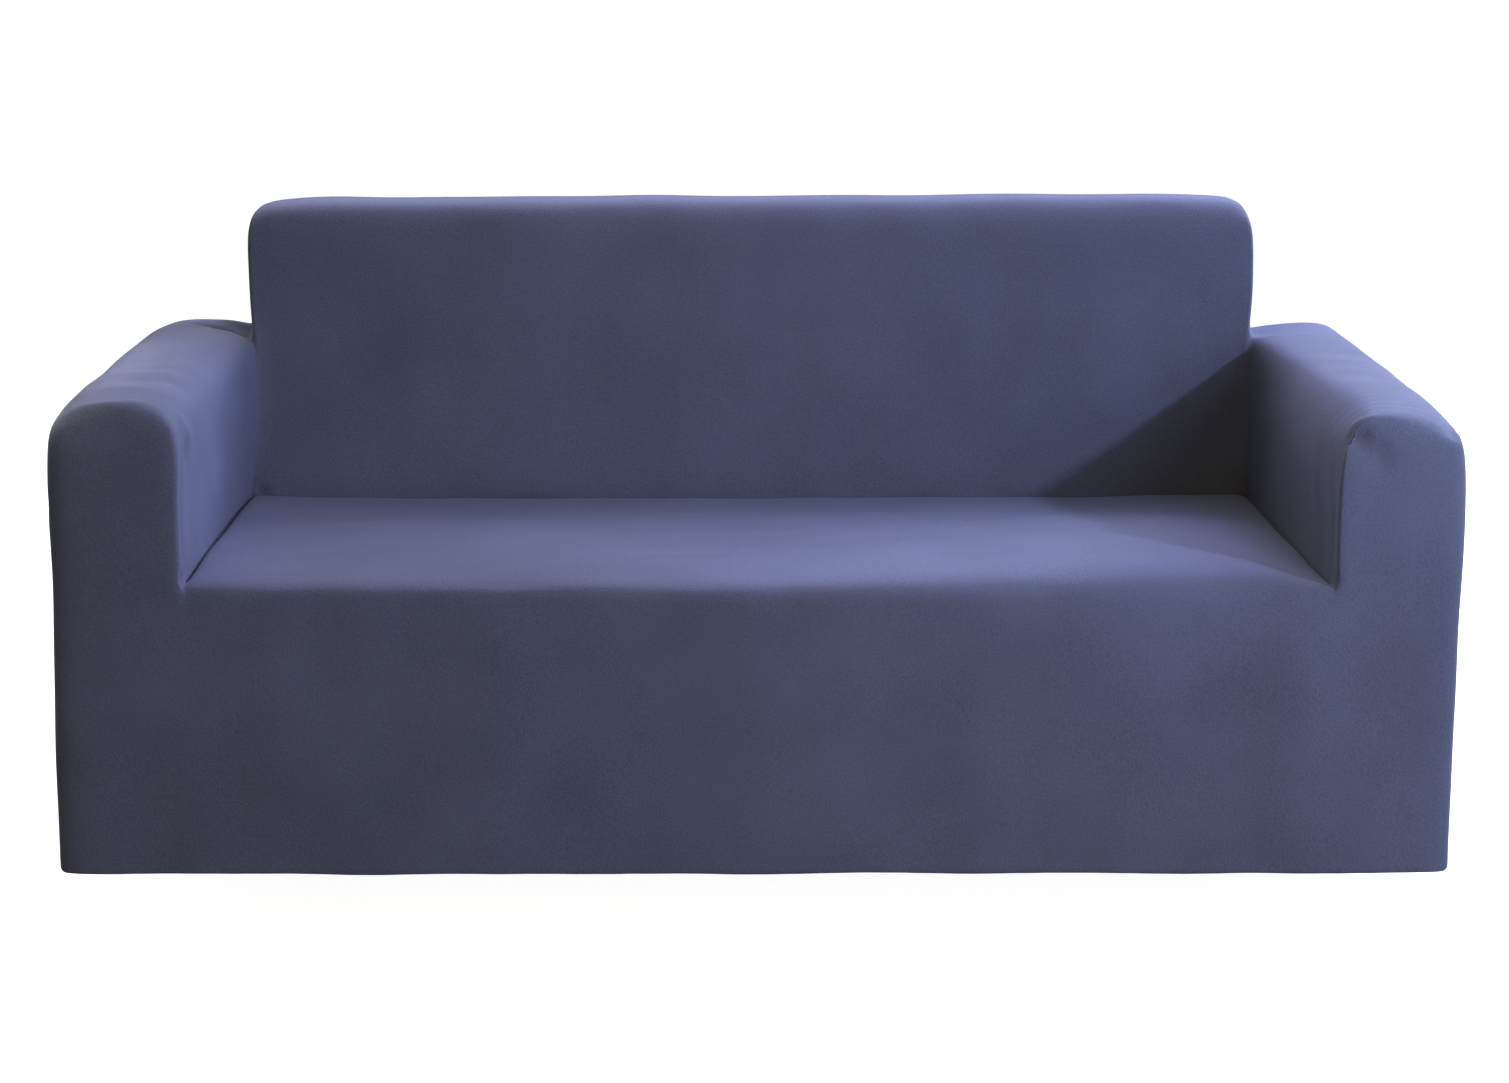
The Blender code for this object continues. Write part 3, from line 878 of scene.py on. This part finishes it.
def buildKnitLoops():
    # columns of V stitches: wales side by side, courses one above the other; the Tint output is painted
    # shade, darker where the loops lie low
    tree, given, result = newGroup(
        "knitLoops",
        [("Knit", "Vector", None), ("Wale", "Float", 0.0016),
         ("Course", "Float", 0.0012), ("Unevenness", "Float", 0.25)],
        [("Height", "Float"), ("Tint", "Float")],
    )
    drift = addNode(tree, "ShaderNodeTexNoise", (-900, -300),
                    {"Scale": knitFinish["loopDrift"], "Vector": given["Knit"]})
    shift = calc(tree, "MULTIPLY", drift.outputs["Fac"], given["Unevenness"], place=(-700, -300))
    parts = addNode(tree, "ShaderNodeSeparateXYZ", (-700, 0), {0: given["Knit"]})
    wale = calc(tree, "DIVIDE", parts.outputs[0], given["Wale"], place=(-500, 100))
    wale = calc(tree, "FRACT", calc(tree, "ADD", wale, shift, place=(-350, 100)))
    across = calc(tree, "ABSOLUTE", calc(tree, "SUBTRACT", wale, 0.5, place=(-200, 100)))
    leg = calc(tree, "SINE", calc(tree, "MULTIPLY", across, 2 * pi, place=(0, 150)), place=(150, 150))
    course = calc(tree, "DIVIDE", parts.outputs[1], given["Course"], place=(-500, -100))
    course = calc(tree, "ADD", course, shift, place=(-350, -100))
    course = calc(tree, "FRACT", calc(tree, "ADD", course, across, place=(-200, -100)))
    bow = calc(tree, "SINE", calc(tree, "MULTIPLY", course, pi, place=(0, -100)), place=(150, -100))
    height = calc(tree, "MULTIPLY", calc(tree, "SQRT", leg, place=(300, 150)), bow, place=(450, 50))
    # painted shade: the colour darkens with the loops' height, in their hollows
    contrast, lowest = knitFinish["loopShade"]
    tint = calc(tree, "MULTIPLY_ADD", height, contrast, lowest, place=(550, -50))
    fillInputs(tree, result, {"Height": height, "Tint": tint})
    return tree


def buildNap():
    # brushed pile: broad soft patches, a fine grain and a rare fleck of lint
    tree, given, result = newGroup(
        "nap",
        [("Place", "Vector", None), ("Patches", "Float", 7.0),
         ("Grain", "Float", 400.0), ("Contrast", "Float", 0.16),
         ("Grain Contrast", "Float", 0.6)],
        [("Height", "Float"), ("Tint", "Float"), ("Lint", "Float")],
    )
    noises = []
    for label, detail, level in (("Patches", 3.0, 0), ("Grain", 2.0, -250)):
        noise = addNode(tree, "ShaderNodeTexNoise", (-650, level),
                        {"Detail": detail, "Vector": given["Place"], "Scale": given[label]})
        noises.append(calc(tree, "SUBTRACT", noise.outputs["Fac"], 0.5, place=(-450, level)))
    patches, grain = noises
    broad = calc(tree, "MULTIPLY_ADD", patches, given["Contrast"], 1.0, place=(-250, 0))
    tint = calc(tree, "MULTIPLY_ADD", grain, given["Grain Contrast"], broad, place=(-250, -250))
    cells = addNode(tree, "ShaderNodeTexVoronoi", (-650, -550),
                    {"Scale": knitFinish["lintSpacing"], "Vector": given["Place"]})
    pick = addNode(tree, "ShaderNodeSeparateColor", (-450, -650), {0: cells.outputs["Color"]})
    fleck = calc(tree, "LESS_THAN", cells.outputs["Distance"], knitFinish["lintSize"], place=(-250, -500))
    rare = calc(tree, "GREATER_THAN", pick.outputs[0], knitFinish["lintRarity"], place=(-250, -650))
    lint = calc(tree, "MULTIPLY", fleck, rare, place=(0, -550))
    fillInputs(tree, result, {"Height": grain, "Tint": tint, "Lint": lint})
    return tree


def buildSeamShade():
    # painted shade: the cloth's colour darkens in the groove where two panels are sewn together, with a
    # matching dent in the bump
    tree, given, result = newGroup(
        "seamShade",
        [("Distance", "Float", 1.0), ("Groove", "Float", 0.0022)],
        [("Tint", "Float"), ("Height", "Float")],
    )
    out = calc(tree, "DIVIDE", given["Distance"], given["Groove"], place=(-500, 0))
    squared = calc(tree, "POWER", out, 2.0, place=(-350, 0))
    dip = calc(tree, "EXPONENT", calc(tree, "MULTIPLY", squared, -1.0, place=(-150, 0)))
    # painted shade: the colour darkens towards the seam line
    tint = calc(tree, "MULTIPLY_ADD", dip, knitFinish["seamShade"], 1.0, place=(200, 0))
    height = calc(tree, "MULTIPLY", dip, -1.0, place=(200, -150))
    fillInputs(tree, result, {"Tint": tint, "Height": height})
    return tree


knitLoops, nap, seamShade = buildKnitLoops(), buildNap(), buildSeamShade()


def knitMaterial(name, contrast):
    material, tree, shader = newMaterial(name)
    uv = addNode(tree, "ShaderNodeUVMap", (-1300, 200), uv_map="knit").outputs[0]
    place = addNode(tree, "ShaderNodeTexCoord", (-1300, -100)).outputs["Object"]
    seam = addNode(tree, "ShaderNodeAttribute", (-1300, -400), attribute_name="seamDistance").outputs["Fac"]
    loops = placeGroup(tree, knitLoops, (-1050, 200), {"Knit": uv})
    brushed = placeGroup(tree, nap, (-1050, -100), {"Place": place, "Contrast": contrast})
    groove = placeGroup(tree, seamShade, (-1050, -400), {"Distance": seam})
    # the yarn's colour takes the nap's random tone and the painted shade of the loops' hollows and the
    # seams' grooves
    tint = calc(tree, "MULTIPLY", loops["Tint"], brushed["Tint"], place=(-800, 100))
    tint = calc(tree, "MULTIPLY", tint, groove["Tint"], place=(-650, 100))
    yarn = shadeColour(tree, knitFinish["yarn"], tint, (-500, 200))
    flecked = addNode(tree, "ShaderNodeMix", (-300, 200), {
        "Factor": brushed["Lint"],
        "A": yarn,
        "B": knitFinish["lintColour"],
    }, data_type="RGBA")
    normal = addBump(tree, loops["Height"], knitFinish["loopDepth"], (-500, -200))
    normal = addBump(tree, brushed["Height"], knitFinish["grainDepth"], (-350, -300), normal)
    normal = addBump(tree, groove["Height"], knitFinish["seamDepth"], (-200, -400), normal)
    fillInputs(tree, shader, {
        "Base Color": flecked.outputs["Result"],
        "Normal": normal,
        "Roughness": knitFinish["roughness"],
        "Specular IOR Level": knitFinish["gloss"],
        "Sheen Weight": 1.0,
        "Sheen Roughness": knitFinish["sheenRoughness"],
        "Sheen Tint": knitFinish["sheenTint"],
    })
    return material


thread = {
    "colour": (0.075, 0.085, 0.150),
    "pitch": 0.0034,         # from one stitch to the next
    "length": 0.0028,
    "radius": 0.00032,
    "seamOffset": 0.0032,    # beside the rear seams
    "hemOffset": 0.006,      # from the turned-in hem's inner edge
    "rowGap": 0.0050,        # between the hem's two rows
    "proud": 0.5,            # how far it stands off the cloth, as a share of the radius
    "seed": 3,
    "unevenLow": (0.85, 0.85, 0.92),     # each stitch's width, height and length, as shares
    "unevenHigh": (1.1, 1.1, 1.06),
    "twist": 900.0,
    # painted shade in the twist's grooves: its contrast and darkest share
    "twistShade": (0.4, 0.8),            # contrast and darkest of the twist
    "twistDepth": 0.0001,
    "roughness": 0.6,
}


def threadMaterial():
    material, tree, shader = newMaterial("thread")
    place = addNode(tree, "ShaderNodeTexCoord", (-900, 0)).outputs["Object"]
    twist = addNode(tree, "ShaderNodeTexWave", (-700, 0), {"Scale": thread["twist"], "Vector": place},
                    bands_direction="DIAGONAL")
    contrast, lowest = thread["twistShade"]
    # painted shade: the colour darkens where the twist's bump is low
    shade = calc(tree, "MULTIPLY_ADD", twist.outputs["Fac"], contrast, lowest, place=(-500, 0))
    fillInputs(tree, shader, {
        "Base Color": shadeColour(tree, thread["colour"], shade, (-300, 0)),
        "Normal": addBump(tree, twist.outputs["Fac"], thread["twistDepth"], (-300, -200)),
        "Roughness": thread["roughness"],
    })
    return material


materials = {name: knitMaterial(name, contrast) for name, contrast in knitPatches.items()}
threadFinish = threadMaterial()
print("knit and thread finishes built")


def seamPath(edges, faces, offset):
    # one chain of points beside a seam, offset over the faces that own its edges
    picked = {index for edge in edges for index in edge}
    middles = points[faces].mean(1)
    toInside = {index: np.zeros(3) for index in picked}
    for face, middle in zip(faces.tolist(), middles):
        for index in face:
            if index in picked:
                toInside[index] += middle - points[index]
    follow = dict(edges)
    starts = set(follow) - set(follow.values())
    here = starts.pop() if starts else next(iter(follow))
    chain = [here]
    while here in follow and follow[here] != chain[0]:
        here = follow[here]
        chain.append(here)
    path = []
    for index in chain:
        inwards = toInside[index] / max(np.linalg.norm(toInside[index]), near)
        proud = skinNormals[index] * thread["radius"] * thread["proud"]
        path.append(points[index] + inwards * offset + proud)
    return path, not starts and len(chain) == len(follow)


def buildStitchRow():
    # one uneven grain of thread at each pitch along the seam
    tree, given, result = newGroup(
        "stitchRow",
        [("Seam", "Geometry", None), ("Pitch", "Float", thread["pitch"]),
         ("Length", "Float", thread["length"]), ("Radius", "Float", thread["radius"]),
         ("Seed", "Int", thread["seed"]), ("Thread", "Material", None)],
        [("Stitches", "Geometry")],
        "GeometryNodeTree",
    )
    tree.is_modifier = True
    spread = addNode(tree, "GeometryNodeResampleCurve", (-600, 100),
                     {"Curve": given["Seam"], "Length": given["Pitch"]}, mode="LENGTH")
    tangent = addNode(tree, "GeometryNodeInputTangent", (-600, -150))
    along = addNode(tree, "FunctionNodeAlignRotationToVector", (-400, -150),
                    {"Vector": tangent.outputs[0]}, axis="Z")
    ball = addNode(tree, "GeometryNodeMeshUVSphere", (-600, -350),
                   {"Segments": 5, "Rings": 4, "Radius": 1.0})
    half = calc(tree, "MULTIPLY", given["Length"], 0.5, place=(-600, -550))
    size = addNode(tree, "ShaderNodeCombineXYZ", (-400, -450),
                   {"X": given["Radius"], "Y": given["Radius"], "Z": half})
    uneven = addNode(tree, "FunctionNodeRandomValue", (-400, -650), {
        "Min": thread["unevenLow"],
        "Max": thread["unevenHigh"],
        "Seed": given["Seed"],
    }, data_type="FLOAT_VECTOR")
    scale = addNode(tree, "ShaderNodeVectorMath", (-200, -450), {0: size.outputs[0], 1: uneven.outputs[0]},
                    operation="MULTIPLY")
    place = addNode(tree, "GeometryNodeInstanceOnPoints", (0, 0), {
        "Points": spread.outputs["Curve"],
        "Instance": ball.outputs["Mesh"],
        "Rotation": along.outputs[0],
        "Scale": scale.outputs[0],
    })
    real = addNode(tree, "GeometryNodeRealizeInstances", (200, 0), {0: place.outputs[0]})
    finish = addNode(tree, "GeometryNodeSetMaterial", (400, 0),
                     {"Geometry": real.outputs[0], "Material": given["Thread"]})
    fillInputs(tree, result, {0: finish.outputs[0]})
    return tree


stitchRow = buildStitchRow()


def sewRows(name, rows):
    curve = bpy.data.curves.new(name + "_line", "CURVE")
    curve.dimensions = "3D"
    for path, closed in rows:
        spline = curve.splines.new("POLY")
        spline.points.add(len(path) - 1)
        spline.points.foreach_set("co", [value for place in path for value in (*place, 1.0)])
        spline.use_cyclic_u = closed
    line = addObject(name + "_line", curve)
    sewing = line.modifiers.new("stitches", "NODES")
    sewing.node_group = stitchRow
    sizes = {"Pitch": thread["pitch"], "Length": thread["length"], "Radius": thread["radius"],
             "Thread": threadFinish}
    for socket in stitchRow.interface.items_tree:
        if socket.in_out == "INPUT" and socket.name in sizes:
            sewing[socket.identifier] = sizes[socket.name]
    mesh = plainMesh(line)
    mesh.name = name
    mesh.shade_smooth()
    print(name, len(mesh.polygons), "faces")
    return addObject(name, mesh)


rearFaces = skinFaces[skinPanels == rearIndex]
hemFaces = skinFaces[np.isin(skinFaces, hemRim).any(1)]
seamStitches = sewRows("rear_seam_stitches", [seamPath(rearEdges, rearFaces, thread["seamOffset"])])
hemStitches = sewRows("hem_stitches", [seamPath(hemEdges, hemFaces, thread["hemOffset"]),
                                       seamPath(hemEdges, hemFaces, thread["hemOffset"] + thread["rowGap"])])
for stitches, slot in ((seamStitches, "knit_back"), (hemStitches, "knit_front")):
    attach(stitches, "root")

slots = {row["node"]: row["material_slot"] for row in frame["record"]["subparts"]}
for name in panelNames:
    panel = cutPanel(name)
    panel.data.materials.append(materials[slots[name]])
    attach(panel, "root")
    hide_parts(name)
    print("panel", name, len(panel.data.polygons), "faces")

stage = {
    "floorDrop": 0.09,       # the hidden sofa's feet lift the hem this far off the floor
    "floorSize": 60.0,
    "floorPaint": 0.30,
    "floorGrain": 40.0,
    "floorGrainShade": 0.02,
    "floorRoughness": 0.9,
    "floorGlow": 0.96,
    "glowNear": 1.2,         # the glow grows to full white from here out, in metres
    "glowFar": 3.5,
    "ambient": 0.02,
}


def buildFloor():
    # white to the eye; towards the cover it gives back only a little light
    bpy.ops.mesh.primitive_plane_add(size=stage["floorSize"], location=(0, 0, -stage["floorDrop"]))
    floor = bpy.context.object
    floor.name = "floor"
    material, tree, shader = newMaterial("floor")
    rays = addNode(tree, "ShaderNodeLightPath", (-600, 0))
    grain = addNode(tree, "ShaderNodeTexNoise", (-600, 300), {"Scale": stage["floorGrain"]})
    paint = calc(tree, "MULTIPLY_ADD", grain.outputs["Fac"], stage["floorGrainShade"], stage["floorPaint"],
                 place=(-400, 300))
    place = addNode(tree, "ShaderNodeTexCoord", (-1200, -200)).outputs["Object"]
    away = addNode(tree, "ShaderNodeVectorMath", (-1000, -200), {0: place}, operation="LENGTH")
    spread = addNode(tree, "ShaderNodeMapRange", (-800, -200), {
        "Value": away.outputs["Value"],
        "From Min": stage["glowNear"],
        "From Max": stage["glowFar"],
        "To Min": stage["floorGlow"],
    }, interpolation_type="SMOOTHSTEP")
    glow = calc(tree, "MULTIPLY", rays.outputs["Is Camera Ray"], spread.outputs["Result"], place=(-400, 0))
    fillInputs(tree, shader, {
        "Base Color": paint,
        "Emission Strength": glow,
        "Emission Color": (1, 1, 1, 1),
        "Roughness": stage["floorRoughness"],
    })
    floor.data.materials.append(material)


buildFloor()

lights = {
    # name: place, target, width and height, spread in degrees, power, colour
    "key": ((2.25, -1.62, 1.50), (0.5, -0.05, 0.40), (0.10, 0.10), 70, 6.0, (0.84, 0.97, 1.19)),
    "keyBeam": ((2.25, -1.62, 1.50), (0.30, -0.28, 0.36), (0.10, 0.10), 16, 0.15, (0.84, 0.97, 1.19)),
    "seatPatch": ((0.15, -0.46, 1.90), (0.15, -0.34, 0.36), (0.46, 0.05), 9, 0.12, (0.95, 1.0, 1.05)),
    "front": ((0, -4.5, 2.2), (0, 0, 0.4), (2.5, 2.5), 180, 40.0, (1.50, 1.11, 0.39)),
    "frontRight": ((2.2, -3.6, 1.0), (0, 0, 0.4), (1.6, 1.6), 180, 79.0, (1.05, 1.01, 0.94)),
    "over": ((0, 0.2, 3.2), (0, 0.1, 0.3), (2.5, 2.5), 180, 36.0, (1.14, 1.05, 0.81)),
    "overRight": ((2.6, -0.2, 2.4), (0, 0, 0.4), (2.0, 2.0), 180, 38.0, (0.68, 0.92, 1.39)),
    "overRightArm": ((0.77, -0.05, 1.80), (0.77, -0.05, 0.56), (0.06, 0.60), 8, 0.035, (1.50, 1.10, 0.40)),
    "overLeftArm": ((-0.81, -0.14, 1.80), (-0.81, -0.14, 0.56), (0.07, 0.50), 8, 0.30, (1.15, 1.08, 0.77)),
    "rear": ((0, 3.2, 2.4), (0, 0, 0.5), (3.0, 3.0), 180, 123.0, (0.87, 0.97, 1.16)),
    "rearRight": ((3.0, 2.2, 1.8), (0, 0, 0.5), (2.0, 2.0), 180, 200.0, (0.98, 1.01, 1.01)),
    "rearLeft": ((-3.0, 1.7, 1.6), (-0.3, 0, 0.4), (1.6, 1.6), 180, 42.0, (1.05, 1.0, 0.90)),
    "highLeft": ((-1.7, 1.9, 2.6), (0, 0, 0.4), (1.4, 1.4), 180, 31.0, (1.27, 1.06, 0.67)),
    "highRight": ((1.7, 1.9, 2.6), (0, 0, 0.4), (1.4, 1.4), 180, 70.0, (0.82, 0.77, 1.42)),
}


def addLight(name, place, target, size, spread, power, colour):
    lamp = bpy.data.lights.new(name, "AREA")
    lamp.shape = "RECTANGLE"
    lamp.size, lamp.size_y = size
    lamp.spread = radians(spread)
    lamp.energy = power
    lamp.color = colour
    light = addObject(name, lamp)
    light.location = place
    light.rotation_euler = (Vector(target) - Vector(place)).to_track_quat("-Z", "Y").to_euler()
    light.visible_camera = False


def buildWorld():
    world = bpy.data.worlds.new("studio")
    bpy.context.scene.world = world
    world.use_nodes = True
    tree = world.node_tree
    rays = addNode(tree, "ShaderNodeLightPath", (-400, 0))
    strength = calc(tree, "MAXIMUM", rays.outputs["Is Camera Ray"], stage["ambient"], place=(-200, 0))
    fillInputs(tree, tree.nodes["Background"], {"Strength": strength, "Color": (1, 1, 1, 1)})


for name, row in lights.items():
    addLight(name, *row)
buildWorld()
bpy.context.scene.view_settings.view_transform = "Standard"
print("floor, lights and surroundings set")

viewpoint = {
    "place": (-0.0738, -4.1934, 1.1056),
    "pitch": radians(10.5578),   # downwards
    "yaw": radians(-1.0311),
    "roll": radians(0.2105),
    "lens": 79.46,
    "sensor": 36.0,
}


def buildCamera():
    pitch, yaw, roll = viewpoint["pitch"], viewpoint["yaw"], viewpoint["roll"]
    right = Vector((cos(yaw), sin(yaw), 0))
    ahead = Vector((-sin(yaw) * cos(pitch), cos(yaw) * cos(pitch), -sin(pitch)))
    up = right.cross(ahead)
    turnedRight = right * cos(roll) + up * sin(roll)
    turnedUp = up * cos(roll) - right * sin(roll)
    lens = bpy.data.cameras.new("camera")
    lens.sensor_width = viewpoint["sensor"]
    lens.lens = viewpoint["lens"]
    camera = addObject("camera", lens)
    turn = Matrix((turnedRight, turnedUp, -ahead)).transposed().to_4x4()
    camera.matrix_world = Matrix.Translation(viewpoint["place"]) @ turn
    bpy.context.scene.camera = camera


buildCamera()
bpy.data.meshes.remove(skin)
